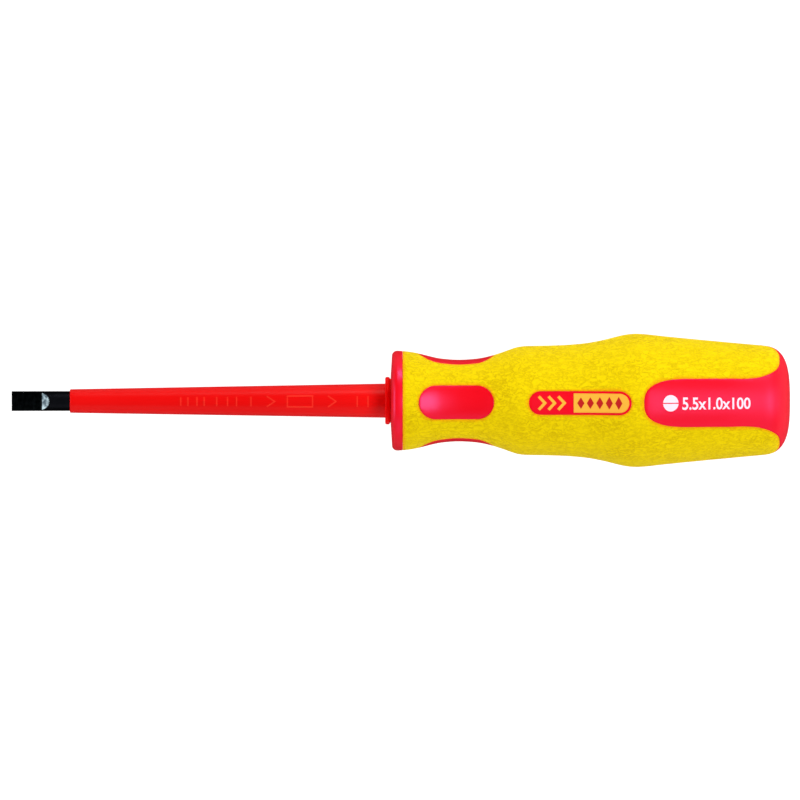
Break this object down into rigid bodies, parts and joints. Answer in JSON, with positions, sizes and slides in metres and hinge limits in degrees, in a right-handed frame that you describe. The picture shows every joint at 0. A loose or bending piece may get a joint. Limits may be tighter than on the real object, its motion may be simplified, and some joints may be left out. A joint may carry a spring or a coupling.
{
  "type": "insulated slotted screwdriver",
  "caption": "Insulated slotted screwdriver with a blackened 5.5 x 1.0 tip, a red sleeved blade and a waisted red and yellow two-component handle.",
  "frame": {"origin": "centre of the end face of the slotted tip, on the tool's axis", "axes": "+X along the tool from tip to handle end; +Z towards the front, the side of the badge and of one flat of the tip"},
  "size_m": [0.2162, 0.0372, 0.0372],
  "materials": {
    "blade_steel": "black oxide, fine ground tip",
    "sleeve_red": "moulded, satin",
    "core_red": "moulded, semi-gloss",
    "shell_red": "moulded, semi-gloss",
    "grip_yellow": "soft elastomer with a fine leather grain",
    "inlay_orange": "moulded, satin"
  },
  "bodies": {
    "root": {"blade": "blade_steel", "blade_sleeve": "sleeve_red", "handle_core": "core_red", "handle_shell": "shell_red", "soft_grip": "grip_yellow", "badge_inlay": "inlay_orange"}
  },
  "joints": []
}
